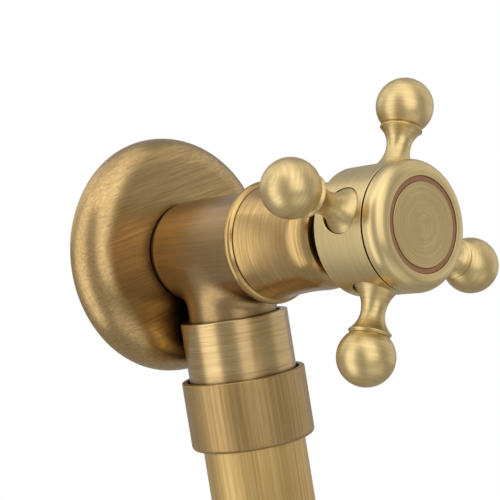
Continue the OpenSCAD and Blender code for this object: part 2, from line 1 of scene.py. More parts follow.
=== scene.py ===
# %% [markdown]
# # A wall-mounted cross-handle shower valve in antique brushed brass
# The CAD model gives every piece its place and size. This file gives the visible pieces finer
# surfaces and every piece its finish. A valve like this is mostly turned on a lathe, so most
# pieces here are an outline carried round an axis. The two that are not, the T-shaped body and
# the hub with its four sockets, are grids that are bent into place.

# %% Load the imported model
import json
import math
import bpy
import numpy as np
from mathutils import Matrix, Vector


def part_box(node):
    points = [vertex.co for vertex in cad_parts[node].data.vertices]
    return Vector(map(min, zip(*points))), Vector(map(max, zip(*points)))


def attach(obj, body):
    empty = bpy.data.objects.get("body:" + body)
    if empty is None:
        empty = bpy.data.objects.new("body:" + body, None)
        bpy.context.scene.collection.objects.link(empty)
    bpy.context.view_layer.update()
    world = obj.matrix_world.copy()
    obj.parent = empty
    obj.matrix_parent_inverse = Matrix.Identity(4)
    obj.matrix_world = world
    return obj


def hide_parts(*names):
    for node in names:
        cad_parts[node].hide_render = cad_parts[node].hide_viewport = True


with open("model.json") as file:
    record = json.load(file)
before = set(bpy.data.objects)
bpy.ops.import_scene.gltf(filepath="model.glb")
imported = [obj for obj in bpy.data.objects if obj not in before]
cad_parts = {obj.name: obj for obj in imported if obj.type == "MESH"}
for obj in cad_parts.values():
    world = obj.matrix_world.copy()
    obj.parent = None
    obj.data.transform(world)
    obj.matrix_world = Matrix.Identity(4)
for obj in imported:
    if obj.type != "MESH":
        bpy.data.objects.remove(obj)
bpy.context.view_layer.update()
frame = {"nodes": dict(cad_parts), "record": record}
MM = 0.001

# %% [markdown]
# ## Measures
# The barrel comes out of the wall along -Y, and its axis is the Y axis. The pipe hangs from the
# branch along -Z. All measures are in millimetres. Those in this cell come from the boxes of the
# CAD nodes, and the others, such as bores and fillets, are typed where they are used. "Out" is
# a distance out from the wall, "down" a distance below the barrel's axis.


# %% Read the measures
def out_span(node):
    """Where a node on the barrel starts and ends, as distances out from the wall."""
    low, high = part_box(node)
    return -high.y / MM, -low.y / MM


def down_span(node):
    """Where a node on the branch starts and ends, as distances below the barrel's axis."""
    low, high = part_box(node)
    return -high.z / MM, -low.z / MM


def radius(node):
    """Half the width of a node along X, which is its outer radius where it is round."""
    low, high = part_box(node)
    return (high.x - low.x) / 2 / MM


pipe_low, pipe_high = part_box("column_pipe")
BRANCH_OUT = -(pipe_low.y + pipe_high.y) / 2 / MM
FLANGE_R = radius("wall_flange")
FLANGE_H = out_span("wall_flange")[1]
BARREL_R = radius("valve_body")
NECK_REAR, SPIGOT_FRONT = out_span("valve_body")
COLLAR_REAR, COLLAR_FRONT = out_span("collar_ring")
BELL_REAR, BELL_FRONT = out_span("bonnet_shroud")
HUB_REAR, HUB_FRONT = out_span("handle_hub")
CAP_FRONT = out_span("handle_cap")[1]
HUB_R = radius("handle_hub")
SLEEVE_TOP, SLEEVE_END = down_span("adapter_sleeve")
NUT_TOP, NUT_BOTTOM = down_span("union_nut")
PIPE_TOP, PIPE_END = down_span("column_pipe")
STUB_END = down_span("valve_body")[1]

# A half-inch pipe thread, outside and inside, as radii.
MALE_R, FEMALE_R = 10.48, 10.53
print(f"branch axis {BRANCH_OUT:.3f} mm out; hub from {HUB_REAR:.2f} to {HUB_FRONT:.2f}")

# %% [markdown]
# ## Grids, outlines and pieces
# A surface is worked out as a grid of points: a function of two parameters, held in one array.
# A piece is a few grids that meet edge to edge. They are welded where their points coincide,
# which closes seams and poles. Each grid also carries a UV map whose first direction follows
# the brushing, because that is the direction along which the metal stretches its reflections.

# %% Helpers that turn grids into pieces
WELD_REACH = 2e-7
drawn_nodes = set()


def grid(points, uv):
    """Quads between neighbouring points of a (rows, columns, 3) array, and the array flattened."""
    rows, columns = points.shape[:2]
    index = np.arange(rows * columns).reshape(rows, columns)
    quads = np.stack(
        [index[:-1, :-1], index[1:, :-1], index[1:, 1:], index[:-1, 1:]], axis=-1
    ).reshape(-1, 4)
    return points.reshape(-1, 3), quads, uv.reshape(-1, 2)


def flipped(surface):
    """The same grid with its faces turned round."""
    points, quads, uv = surface
    return points, quads[:, ::-1], uv


def weld(points, faces):
    """Points that lie within reach of each other become one. The odd shift keeps round numbers
    away from the edges between two cells."""
    key = np.round(points / WELD_REACH + 0.137).astype(np.int64)
    _, first, same = np.unique(key, axis=0, return_index=True, return_inverse=True)
    return points[first], same.reshape(-1)[faces]


def piece(name, surfaces, body, node, material, sharp_degrees=28):
    """One mesh object from several grids, standing for a CAD node and riding on its body."""
    starts = np.cumsum([0] + [len(s[0]) for s in surfaces[:-1]])
    points = np.concatenate([s[0] for s in surfaces]) * MM
    faces = np.concatenate([s[1] + start for s, start in zip(surfaces, starts)])
    uv = np.concatenate([s[2] for s in surfaces])[faces]
    points, faces = weld(points, faces)
    following = np.roll(faces, -1, axis=1)
    kept = faces != following
    whole = kept.all(axis=1)
    corner = kept.sum(axis=1) == 3
    triangles, triangle_uv = faces[corner][kept[corner]], uv[corner][kept[corner]]
    mesh = bpy.data.meshes.new(name)
    mesh.from_pydata(
        points.tolist(), [], faces[whole].tolist() + triangles.reshape(-1, 3).tolist()
    )
    layer = mesh.uv_layers.new(name="brush")
    corners = np.concatenate([uv[whole].reshape(-1, 2), triangle_uv.reshape(-1, 2)])
    layer.data.foreach_set("uv", corners.ravel())
    mesh.shade_smooth()
    mesh.set_sharp_from_angle(angle=math.radians(sharp_degrees))
    mesh.materials.append(material)
    obj = bpy.data.objects.new(name, mesh)
    bpy.context.scene.collection.objects.link(obj)
    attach(obj, body)
    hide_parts(node)
    drawn_nodes.add(node)
    print(f"{name}: {len(mesh.polygons)} faces")
    return obj


# %% Helpers for outlines
def arc(centre, r, start, end, steps=16):
    """Points on a circle round centre, from the start angle to the end angle in degrees."""
    a = np.radians(np.linspace(start, end, steps + 1))
    return np.stack([centre[0] + r * np.cos(a), centre[1] + r * np.sin(a)], axis=1)


def rounded(corners, steps=6):
    """An open outline through (radius, along, fillet) corners, with each corner's fillet as an
    arc. With half the angle between the two sides, the arc touches them at fillet / tan(half)
    from the corner, and its centre lies at fillet / sin(half) from it."""
    corner = np.array(corners, float)
    path = [corner[0, :2]]
    for before, here, after in zip(corner[:-2], corner[1:-1], corner[2:]):
        p = here[:2]
        a, b = before[:2] - p, after[:2] - p
        a, b = a / np.linalg.norm(a), b / np.linalg.norm(b)
        half = math.acos(max(-1, min(1, float(a @ b)))) / 2
        fillet = here[2]
        if fillet <= 0 or half > math.radians(89.5):
            path.append(p)
            continue
        middle = p + (a + b) / np.linalg.norm(a + b) * fillet / math.sin(half)
        foot_a, foot_b = p + a * fillet / math.tan(half), p + b * fillet / math.tan(half)
        t0 = math.atan2(*(foot_a - middle)[::-1])
        turn = math.atan2(*(foot_b - middle)[::-1]) - t0
        turn = (turn + math.pi) % (2 * math.pi) - math.pi
        angles = t0 + turn * np.linspace(0, 1, steps + 1)
        path.extend(middle + fillet * np.stack([np.cos(angles), np.sin(angles)], axis=1))
    path.append(corner[-1, :2])
    return np.array(path)


def supported(path, step=2.5, near=0.12):
    """The outline with extra points along its long straights, so that shading stays even."""
    lengths = np.linalg.norm(np.diff(path, axis=0), axis=1)
    pieces = [path[:1]]
    for start, end, length in zip(path[:-1], path[1:], lengths):
        inner = []
        if length > 4 * near:
            count = max(1, int(length / step))
            inner = [near / length, *np.linspace(0, 1, count + 1)[1:-1], 1 - near / length]
        share = np.array([*inner, 1.0])[:, None]
        pieces.append(start + (end - start) * share)
    return np.concatenate(pieces)


def axis_frame(origin, across, along):
    """A place to turn things: its origin, and the directions across, up and along as columns.
    Up is along x across, so the three are right-handed in that order."""
    a, l = np.array(across, float), np.array(along, float)
    return np.array(origin, float), np.stack([a, np.cross(l, a), l], axis=1)


CORNER_ANGLE = math.radians(225)
BARREL = axis_frame((0, 0, 0), (1, 0, 0), (0, -1, 0))
BRANCH = axis_frame((0, -BRANCH_OUT, 0), (1, 0, 0), (0, 0, -1))


def placed(across, up, along, axis):
    """Points at across, up and along in an axis frame."""
    origin, directions = axis
    return origin + np.stack([across, up, along], axis=-1) @ directions.T


def winding(path):
    """Twice the area that an outline goes round, positive when it runs anticlockwise."""
    r, along = path[:, 0], path[:, 1]
    return float(np.sum(r * np.roll(along, -1) - np.roll(r, -1) * along))


def lathe(path, axis, around=224, brush="round", start=0.0, outward=None, thread=None):
    """An outline of (radius, along) points carried once round its axis.
    Point = (r cos t, r sin t, along), with t from the start angle to a full turn later. An
    outline that is closed, or that starts and ends on the axis, shows which way is out; an
    open one says it: outward is True when the solid lies to the left of the path. A thread is
    (crest, from, to, pitch, depth): its groove is cut into the radius as a wave along the axis
    that moves on by one pitch in a turn, and it fades out over one pitch at each end."""
    path = np.asarray(path, float)
    if outward is None:
        outward = winding(path) > 0
    path = supported(path)
    turn = start + np.linspace(0, 2 * math.pi, around + 1)
    r, t = np.meshgrid(path[:, 0], turn, indexing="xy")
    along = np.broadcast_to(path[:, 1], r.shape)
    if thread:
        crest, first, last, pitch, depth = thread
        wave = 0.5 - 0.5 * np.cos(2 * math.pi * along / pitch - np.round(t - start, 9))
        fade = np.clip(np.minimum(along - first, last - along) / pitch, 0, 1)
        r = r - depth * wave * fade * (r > crest - 0.5)
    travelled = np.concatenate([[0], np.cumsum(np.linalg.norm(np.diff(path, axis=0), axis=1))])
    v = np.broadcast_to(travelled, r.shape)
    uv = np.stack([t * 10, v], axis=-1) if brush == "round" else np.stack([v, t * 10], axis=-1)
    surface = grid(placed(r * np.cos(t), r * np.sin(t), along, axis), uv)
    return surface if outward else flipped(surface)


def closed(path):
    """The outline joined back to its first point."""
    return np.concatenate([path, path[:1]])


def square_and_circle(n):
    """Points round the square from -1 to 1 with n to a side, and as many round the unit circle
    from the same corner, for grids that go from a round hole to a rectangle."""
    side = np.linspace(-1, 1, n + 1)[:-1]
    one = np.ones(n)
    square = np.concatenate([
        np.stack([side, -one], 1), np.stack([one, side], 1),
        np.stack([-side, one], 1), np.stack([-one, -side], 1), [[-1.0, -1.0]],
    ])
    angle = CORNER_ANGLE + np.linspace(0, 2 * math.pi, 4 * n + 1)
    return square, np.stack([np.cos(angle), np.sin(angle)], axis=1)


# %% [markdown]
# ## The finish
# Antique brass is brass that has been darkened and then brushed back, so fine bright lines run
# over a browner ground. A brushed surface is metal with three things added: a colour that
# varies in thin streaks, a height that varies in the same streaks, and anisotropy, which
# smears each reflection across the brushing. The streaks are noise that is stretched along the
# brushing: round an axis for turned pieces, and in a straight line for the others. Creases and
# narrow gaps also get a near-black colour from an ambient occlusion node. This is painted shade,
# and it also stands for the dark patina left in the hollows.

# %% Material helpers
# Near-black colour that the ambient occlusion mix paints into creases and gaps. It is painted
# shade, and it also stands for the dark patina of antique brass in its hollows.
PATINA_AND_SHADE_COLOUR = (0.06, 0.033, 0.014)
OPEN_LEAST, OPEN_MOST = 0.2, 0.6
MICROMETRE = 1e-6
PATCHES_PER_METRE = 90.0
COAT, COAT_ROUGHNESS = 0.3, 0.3


def new_node(tree, kind, place, **settings):
    """A shader node of a kind, with its settings made."""
    node = tree.nodes.new(kind)
    node.location = place
    for key, value in settings.items():
        setattr(node, key, value)
    return node


def math_node(tree, operation, a, b, place):
    """A Math node whose two inputs are numbers or sockets."""
    node = new_node(tree, "ShaderNodeMath", place, operation=operation)
    for socket, value in zip(node.inputs, (a, b)):
        if isinstance(value, (int, float)):
            socket.default_value = value
        else:
            tree.links.new(value, socket)
    return node.outputs[0]


def round_streaks(tree, centre, axis, along_per_mm, around_cells):
    """Noise coordinates for brushing round an axis. With h the distance along the axis and r the
    distance from it, the vector is (unit radial vector * cells + axis * h * lines), and the
    fourth coordinate is r * lines, so that faces across the axis are brushed in circles too."""
    coordinates = new_node(tree, "ShaderNodeTexCoord", (-1500, 0))
    from_centre = new_node(tree, "ShaderNodeVectorMath", (-1300, 0), operation="SUBTRACT")
    from_centre.inputs[1].default_value = [c * MM for c in centre]
    tree.links.new(coordinates.outputs["Object"], from_centre.inputs[0])
    height = new_node(tree, "ShaderNodeVectorMath", (-1100, -200), operation="DOT_PRODUCT")
    height.inputs[1].default_value = axis
    tree.links.new(from_centre.outputs[0], height.inputs[0])
    on_axis = new_node(tree, "ShaderNodeVectorMath", (-900, -200), operation="SCALE")
    on_axis.inputs[0].default_value = axis
    tree.links.new(height.outputs["Value"], on_axis.inputs["Scale"])
    radial = new_node(tree, "ShaderNodeVectorMath", (-700, 0), operation="SUBTRACT")
    tree.links.new(from_centre.outputs[0], radial.inputs[0])
    tree.links.new(on_axis.outputs[0], radial.inputs[1])
    distance = new_node(tree, "ShaderNodeVectorMath", (-500, -100), operation="LENGTH")
    tree.links.new(radial.outputs[0], distance.inputs[0])
    unit = new_node(tree, "ShaderNodeVectorMath", (-500, 100), operation="NORMALIZE")
    tree.links.new(radial.outputs[0], unit.inputs[0])
    around = new_node(tree, "ShaderNodeVectorMath", (-300, 100), operation="SCALE")
    around.inputs["Scale"].default_value = around_cells
    tree.links.new(unit.outputs[0], around.inputs[0])
    lines = new_node(tree, "ShaderNodeVectorMath", (-300, -200), operation="SCALE")
    lines.inputs["Scale"].default_value = along_per_mm / MM
    tree.links.new(on_axis.outputs[0], lines.inputs[0])
    total = new_node(tree, "ShaderNodeVectorMath", (-100, 0), operation="ADD")
    tree.links.new(around.outputs[0], total.inputs[0])
    tree.links.new(lines.outputs[0], total.inputs[1])
    fourth = math_node(
        tree, "MULTIPLY", distance.outputs["Value"], along_per_mm / MM, (-100, -300))
    return total.outputs[0], fourth


def straight_streaks(tree, lines_per_mm, tilt=(0, 0, 0)):
    """Noise coordinates for straight brushing: each row axis has its own number of cells in a
    millimetre, and the axis with the fewest is the one that the lines follow."""
    coordinates = new_node(tree, "ShaderNodeTexCoord", (-1500, 0))
    mapping = new_node(tree, "ShaderNodeMapping", (-1300, 0), vector_type="TEXTURE")
    mapping.inputs["Rotation"].default_value = [math.radians(a) for a in tilt]
    mapping.inputs["Scale"].default_value = [MM / n for n in lines_per_mm]
    tree.links.new(coordinates.outputs["Object"], mapping.inputs["Vector"])
    return mapping.outputs[0], 0.0


def noise(tree, vector, fourth, scale, detail, place):
    """A noise value from 0 to 1 at the given coordinates."""
    node = new_node(tree, "ShaderNodeTexNoise", place, noise_dimensions="4D")
    node.inputs["Scale"].default_value = scale
    node.inputs["Detail"].default_value = detail
    tree.links.new(vector, node.inputs["Vector"])
    if isinstance(fourth, (int, float)):
        node.inputs["W"].default_value = fourth
    else:
        tree.links.new(fourth, node.inputs["W"])
    return node.outputs["Fac"]


def ramp(tree, value, stops, place):
    """A colour ramp over a value; stops are (position, colour) pairs."""
    node = new_node(tree, "ShaderNodeValToRGB", place)
    while len(node.color_ramp.elements) < len(stops):
        node.color_ramp.elements.new(0.5)
    for element, (position, colour) in zip(node.color_ramp.elements, stops):
        element.position = position
        element.color = (*colour, 1)
    tree.links.new(value, node.inputs["Fac"])
    return node.outputs["Color"]


def spread(tree, value, low, high, place):
    """A 0 to 1 value stretched to run from low to high."""
    node = new_node(tree, "ShaderNodeMapRange", place)
    node.inputs["From Min"].default_value = 0.3
    node.inputs["From Max"].default_value = 0.7
    node.inputs["To Min"].default_value = low
    node.inputs["To Max"].default_value = high
    tree.links.new(value, node.inputs["Value"])
    return node.outputs["Result"]


def colour_sockets(sockets):
    """The sockets of a Mix node that hold colours."""
    return [socket for socket in sockets if socket.type == "RGBA"]


def patina_and_painted_shade(tree, colour, reach_mm):
    """The colour, with a near-black colour mixed in by an ambient occlusion node. This is painted
    shade in creases and in the narrow gaps between two pieces, and it also stands for the dark
    patina that antique brass keeps in its hollows. A point whose view is less open than
    OPEN_LEAST has only the dark colour, and one more open than OPEN_MOST has only the colour."""
    reach = new_node(tree, "ShaderNodeAmbientOcclusion", (880, 650), samples=8)
    reach.inputs["Distance"].default_value = reach_mm * MM
    open_share = new_node(tree, "ShaderNodeMapRange", (1080, 650))
    open_share.inputs["From Min"].default_value = OPEN_LEAST
    open_share.inputs["From Max"].default_value = OPEN_MOST
    tree.links.new(reach.outputs["AO"], open_share.inputs["Value"])
    mix = new_node(tree, "ShaderNodeMix", (1260, 450), data_type="RGBA")
    shaded, bare = colour_sockets(mix.inputs)
    # The painted shade colour, which also stands for the patina in hollows.
    shaded.default_value = (*PATINA_AND_SHADE_COLOUR, 1)
    tree.links.new(open_share.outputs["Result"], mix.inputs[0])
    tree.links.new(colour, bare)
    return colour_sockets(mix.outputs)[0]


def brushed(name, streaks, dark, light, rough, depth_um, anisotropy=0.55, patches=0.12, crease=6):
    """Brushed metal. Fine and coarse streaks, and soft patches where more of the dark finish is
    left, choose between two colours; the streaks also set the height and the gloss. The depth
    of the brushing is in micrometres, and crease is the reach, in millimetres, of the ambient
    occlusion that paints shade into creases and gaps, standing also for the patina there. A
    quarter turn of the anisotropy puts the smear of a reflection across the brushing, whose
    direction is the UV map's first one."""
    material = bpy.data.materials.new(name)
    material.use_nodes = True
    tree = material.node_tree
    shader = tree.nodes["Principled BSDF"]
    vector, fourth = streaks(tree)
    fine = noise(tree, vector, fourth, 1.0, 3.0, (150, 300))
    coarse = noise(tree, vector, fourth, 0.28, 2.0, (150, 0))
    soft_place = new_node(tree, "ShaderNodeTexCoord", (-100, -600))
    soft = noise(tree, soft_place.outputs["Object"], 2.0, PATCHES_PER_METRE, 2.0, (150, -500))
    half_fine = math_node(tree, "MULTIPLY", fine, 0.5, (350, 300))
    half_coarse = math_node(tree, "MULTIPLY", coarse, 0.5, (350, 0))
    both = math_node(tree, "ADD", half_fine, half_coarse, (520, 200))
    off_middle = math_node(tree, "SUBTRACT", soft, 0.5, (350, -500))
    patch = math_node(tree, "MULTIPLY", off_middle, patches, (520, -500))
    shifted = math_node(tree, "ADD", both, patch, (700, 0))
    colour = ramp(tree, shifted, [(0.36, dark), (0.66, light)], (880, 300))
    # The streak colour, darkened in creases and gaps by painted shade mixed with patina.
    tree.links.new(patina_and_painted_shade(tree, colour, crease), shader.inputs["Base Color"])
    gloss = spread(tree, both, rough + 0.06, rough - 0.05, (880, 0))
    tree.links.new(gloss, shader.inputs["Roughness"])
    shader.inputs["Metallic"].default_value = 1.0
    shader.inputs["Coat Weight"].default_value = COAT
    shader.inputs["Coat Roughness"].default_value = COAT_ROUGHNESS
    shader.inputs["Anisotropic"].default_value = anisotropy
    shader.inputs["Anisotropic Rotation"].default_value = 0.25
    tangent = new_node(
        tree, "ShaderNodeTangent", (880, -500), direction_type="UV_MAP", uv_map="brush")
    tree.links.new(tangent.outputs[0], shader.inputs["Tangent"])
    bump = new_node(tree, "ShaderNodeBump", (1080, -250))
    bump.inputs["Strength"].default_value = 1.0
    bump.inputs["Distance"].default_value = depth_um * MICROMETRE
    tree.links.new(both, bump.inputs["Height"])
    tree.links.new(bump.outputs[0], shader.inputs["Normal"])
    return material


def plain(name, colour, roughness, metallic=0.0, grain_um=4.0, grain_scale=2500.0):
    """A plain finish with a faint speckled variation in its colour, gloss and height."""
    material = bpy.data.materials.new(name)
    material.use_nodes = True
    tree = material.node_tree
    shader = tree.nodes["Principled BSDF"]
    place = new_node(tree, "ShaderNodeTexCoord", (-600, 0))
    speck = noise(tree, place.outputs["Object"], 0.0, grain_scale, 3.0, (-400, 0))
    darker = [c * 0.8 for c in colour]
    tree.links.new(ramp(tree, speck, [(0.35, darker), (0.65, colour)], (-200, 200)),
                   shader.inputs["Base Color"])
    tree.links.new(spread(tree, speck, roughness + 0.05, roughness - 0.05, (-200, -50)),
                   shader.inputs["Roughness"])
    shader.inputs["Metallic"].default_value = metallic
    bump = new_node(tree, "ShaderNodeBump", (-200, -300))
    bump.inputs["Distance"].default_value = grain_um * MICROMETRE
    tree.links.new(speck, bump.inputs["Height"])
    tree.links.new(bump.outputs[0], shader.inputs["Normal"])
    return material


# %% The finishes of this valve
# Each finish has its darker and its lighter colour, its roughness and its depth of brushing.
ON_BARREL = dict(centre=(0, 0, 0), axis=(0, 1, 0))
ON_BRANCH = dict(centre=(0, -BRANCH_OUT, 0), axis=(0, 0, 1))
handle_brass = brushed(
    "handle_brass", lambda t: round_streaks(t, **ON_BARREL, along_per_mm=7, around_cells=1.6),
    (0.59, 0.445, 0.20), (0.75, 0.58, 0.285), 0.33, 3.5, crease=1)
face_brass = brushed(
    "face_brass", lambda t: round_streaks(t, **ON_BARREL, along_per_mm=7, around_cells=1.6),
    (0.50, 0.355, 0.15), (0.64, 0.475, 0.22), 0.33, 3)
bell_brass = brushed(
    "bell_brass", lambda t: round_streaks(t, **ON_BARREL, along_per_mm=6, around_cells=2.0),
    (0.38, 0.235, 0.08), (0.64, 0.435, 0.17), 0.24, 4, anisotropy=0.65)
sleeve_brass = brushed(
    "sleeve_brass", lambda t: round_streaks(t, **ON_BRANCH, along_per_mm=5.5, around_cells=2.2),
    (0.46, 0.31, 0.135), (0.66, 0.48, 0.225), 0.34, 4, anisotropy=0.75)
flange_brass = brushed(
    "flange_brass", lambda t: straight_streaks(t, (0.16, 6.0, 6.0), (0, -9, 0)),
    (0.35, 0.225, 0.09), (0.60, 0.41, 0.175), 0.30, 4)
body_brass = brushed(
    "body_brass", lambda t: straight_streaks(t, (5.0, 0.15, 5.0)),
    (0.32, 0.20, 0.084), (0.42, 0.275, 0.12), 0.33, 2)
nut_brass = brushed(
    "nut_brass", lambda t: straight_streaks(t, (5.0, 5.0, 0.07)),
    (0.34, 0.215, 0.08), (0.54, 0.36, 0.145), 0.38, 4, patches=0.15)
pipe_brass = brushed(
    "pipe_brass", lambda t: straight_streaks(t, (4.0, 4.0, 0.05)),
    (0.48, 0.305, 0.10), (0.72, 0.51, 0.20), 0.42, 3)
index_brown = plain("index_brown", (0.30, 0.14, 0.06), 0.45)
raw_brass = plain("raw_brass", (0.74, 0.55, 0.26), 0.3, 1.0, 3.0)
steel = plain("steel", (0.55, 0.56, 0.58), 0.32, 1.0, 3.0)
rubber = plain("rubber", (0.025, 0.025, 0.025), 0.6)
ceramic = plain("ceramic", (0.85, 0.82, 0.75), 0.2)
nylon = plain("nylon", (0.82, 0.80, 0.74), 0.45)

# %% [markdown]
# ## The cover plate
# A cover plate is spun from sheet brass, so it is a thin shell: a soft rim that tucks in at the
# wall, a face that is nearly flat, and a hole for the valve's neck. Its outline is drawn once
# along the outside and back along the inside, and carried round the barrel's axis.

# %% Make the cover plate
SHEET = 1.4
RIM_R = 7.8
RIM_DROP = 0.2
TUCK = 1.4
NECK_R = 11.9
NECK_GAP = 0.1
HOLE_EDGE = 0.4
LEDGE_REAR, LEDGE_FRONT, LEDGE_W = 3, 4.2, 2.4


def cover_plate_outline():
    """The closed outline of the cover plate: rear edge, rim, face, hole, and back inside, with
    the ledge that the gasket sits behind."""
    rim = (FLANGE_R - RIM_R, FLANGE_H - RIM_R - RIM_DROP)
    inner = RIM_R - SHEET
    lip = FLANGE_R - TUCK - SHEET
    lip_angle = math.degrees(math.acos((lip - rim[0]) / inner))
    ledge = [[lip, LEDGE_FRONT], [lip - LEDGE_W, LEDGE_FRONT],
             [lip - LEDGE_W, LEDGE_REAR], [lip, LEDGE_REAR]]
    return closed(np.concatenate([
        arc((FLANGE_R - TUCK, TUCK), TUCK, -90, 0, 8),
        arc(rim, RIM_R, 0, 86, 40),
        arc((NECK_R + NECK_GAP + HOLE_EDGE, FLANGE_H - HOLE_EDGE), HOLE_EDGE, 90, 180, 6),
        [[NECK_R + NECK_GAP, FLANGE_H - SHEET]],
        arc(rim, inner, 84, lip_angle, 20),
        ledge,
        [[lip, 0]],
    ]))


piece("cover_plate", [lathe(cover_plate_outline(), BARREL)], "valve", "wall_flange",
      flange_brass)

# %% [markdown]
# ## The T body
# The body is one casting: a barrel with a soft rear shoulder, and a stub that grows out of it
# with a wide fillet. Two crossing tubes with a fillet can't be turned, so the skin near the
# branch is a grid whose rows run up the stub, over the fillet and out over the barrel to a
# rectangle on its lower half. Every point is then moved to where a smooth minimum of the two
# tubes' distances is zero, which is what makes the fillet. The water ways inside are the same
# shape, smaller and turned inside out.

# %% Helpers for a branching tube
TEE_SIDE = 56
SHOULDER = 2.6
NECK_FRONT = FLANGE_H + 0.1


def smooth_step(x):
    """0 below 0, 1 above 1, and 3 x x - 2 x x x between."""
    x = np.clip(x, 0, 1)
    return x * x * (3 - 2 * x)


def tee_distance(points, size, stub, rear, blend):
    """Smooth minimum of the distances to a barrel and a stub: min(a, b) - h h blend / 4, where
    h falls from 1 to 0 as the two distances grow blend apart. The barrel's rear is rounded,
    the stub starts inside the barrel, and the blend fades out towards the neck."""
    x, y, z = points[..., 0], points[..., 1], points[..., 2]
    r = np.hypot(x, z)
    behind = np.maximum(rear + SHOULDER + y, 0)
    core = np.maximum(r - (size - SHOULDER), 0)
    a = np.where(behind > 0, np.hypot(core, behind) - SHOULDER, r - size)
    b = np.maximum(np.hypot(x, y + BRANCH_OUT) - stub, z + 0.45 * stub)
    local = np.maximum(blend * smooth_step((-y - rear - 0.8) / 3), 1e-3)
    h = np.maximum(local - np.abs(a - b), 0) / local
    return np.minimum(a, b) - h * h * local / 4


def settle(points, distance, rounds=14, step=1e-3):
    """Moves points along the slope of a distance until it is zero."""
    for _ in range(rounds):
        here = distance(points)
        slope = np.stack([distance(points + step * np.eye(3)[i]) - here for i in range(3)], axis=-1)
        slope /= step
        slope /= np.maximum((slope**2).sum(axis=-1, keepdims=True), 0.3)
        points = points - here[..., None] * slope
    return points


def tee(size, stub, rear_out, front_out, stub_end, rear, blend):
    """The skin of a barrel between two rings, with its branch down to stub_end. The lower half
    is a grid round the branch axis, and the upper half a plain grid of the same spacing."""
    n = TEE_SIDE
    square, circle = square_and_circle(n)
    edge_turn = square[:, 0] * math.pi / 2
    edge_out = rear_out + (front_out - rear_out) * (square[:, 1] + 1) / 2
    ring_x, ring_out = stub * circle[:, 0], BRANCH_OUT + stub * circle[:, 1]
    crease = -np.sqrt(size**2 - ring_x**2)
    rows = [
        np.stack([ring_x, -ring_out, (crease - 0.3 * blend + stub_end) * share - stub_end], axis=-1)
        for share in np.linspace(0, 1, 16)
    ]
    ring_turn = np.arcsin(ring_x / size)
    for share in np.linspace(0, 1, 36) ** 1.3:
        turn = ring_turn + (edge_turn - ring_turn) * share
        out = ring_out + (edge_out - ring_out) * share
        rows.append(np.stack([size * np.sin(turn), -out, -size * np.cos(turn)], axis=-1))
    lower = np.stack(rows)
    upper_turn = np.radians(np.linspace(90, 270, n + 1))
    turn, out = np.meshgrid(upper_turn, np.linspace(rear_out, front_out, n + 1), indexing="ij")
    upper = np.stack([size * np.sin(turn), -out, -size * np.cos(turn)], axis=-1)

    def rear_radius(out):
        """The barrel's radius at a distance out, smaller on the rounded rear."""
        behind = np.clip(rear + SHOULDER - out, 0, SHOULDER)
        return size - SHOULDER + np.sqrt(SHOULDER**2 - behind**2)

    lower[1:-1] = settle(lower[1:-1], lambda p: tee_distance(p, size, stub, rear, blend))
    for skin in (lower[-1:], upper):
        skin[..., (0, 2)] *= (rear_radius(-skin[..., 1]) / size)[..., None]
    lower_uv = np.stack([lower[..., 1], np.arctan2(lower[..., 0], -lower[..., 2]) * 10], axis=-1)
    upper_uv = np.stack([upper[..., 1], turn * 10], axis=-1)
    return [grid(lower, lower_uv), grid(upper, upper_uv)]


# %% Make the T body
STUB_R = 10.95
STUB_PLAIN_END = 20.0
BODY_FILLET, WATERWAY_FILLET = 3.4, 0.4
CHAMBER_R, CHAMBER_REAR, CHAMBER_FRONT = 9.9, 13, 33
WATERWAY_R = 8
SEAT_R, SEAT_REAR = 5.2, 11
BARREL_FRONT = COLLAR_REAR
SKIN_REAR = NECK_FRONT + SHOULDER - math.sqrt(SHOULDER**2 - (NECK_R - BARREL_R + SHOULDER) ** 2)
around_barrel = 2 * TEE_SIDE
body_surfaces = tee(BARREL_R, STUB_R, SKIN_REAR, BARREL_FRONT, STUB_PLAIN_END, NECK_FRONT,
                    BODY_FILLET)
body_surfaces += [flipped(s) for s in tee(
    CHAMBER_R, WATERWAY_R, CHAMBER_REAR, CHAMBER_FRONT, STUB_PLAIN_END, -20, WATERWAY_FILLET)]
body_surfaces.append(lathe(
    [[BARREL_R, BARREL_FRONT], [NECK_R, BARREL_FRONT], [NECK_R, SPIGOT_FRONT],
     [MALE_R, SPIGOT_FRONT], [MALE_R, CHAMBER_FRONT], [CHAMBER_R, CHAMBER_FRONT]],
    BARREL, around_barrel, outward=True))
body_surfaces.append(lathe(
    [[CHAMBER_R, CHAMBER_REAR], [SEAT_R, CHAMBER_REAR], [SEAT_R, SEAT_REAR],
     [FEMALE_R, SEAT_REAR], [FEMALE_R, NECK_REAR], [NECK_R, NECK_REAR], [NECK_R, SKIN_REAR]],
    BARREL, around_barrel, outward=True))
body_surfaces.append(lathe(
    [[STUB_R, STUB_PLAIN_END], [MALE_R, STUB_PLAIN_END + 0.3], [MALE_R, STUB_END - 0.6],
     [MALE_R - 0.6, STUB_END], [WATERWAY_R, STUB_END], [WATERWAY_R, STUB_PLAIN_END]],
    BRANCH, 4 * TEE_SIDE, start=CORNER_ANGLE, outward=True))
piece("t_body", body_surfaces, "valve", "valve_body", body_brass, sharp_degrees=40)

# %% [markdown]
# ## The bead and the bell
# In front of the barrel sits a narrow bead, then the bell that hides the cartridge. The bell
# narrows in a faint curve from its rear edge and ends in a rounded shoulder, which stops at a
# lip round its open front. Real turned edges are never sharp, so most have a fillet of a tenth
# or two of a millimetre.

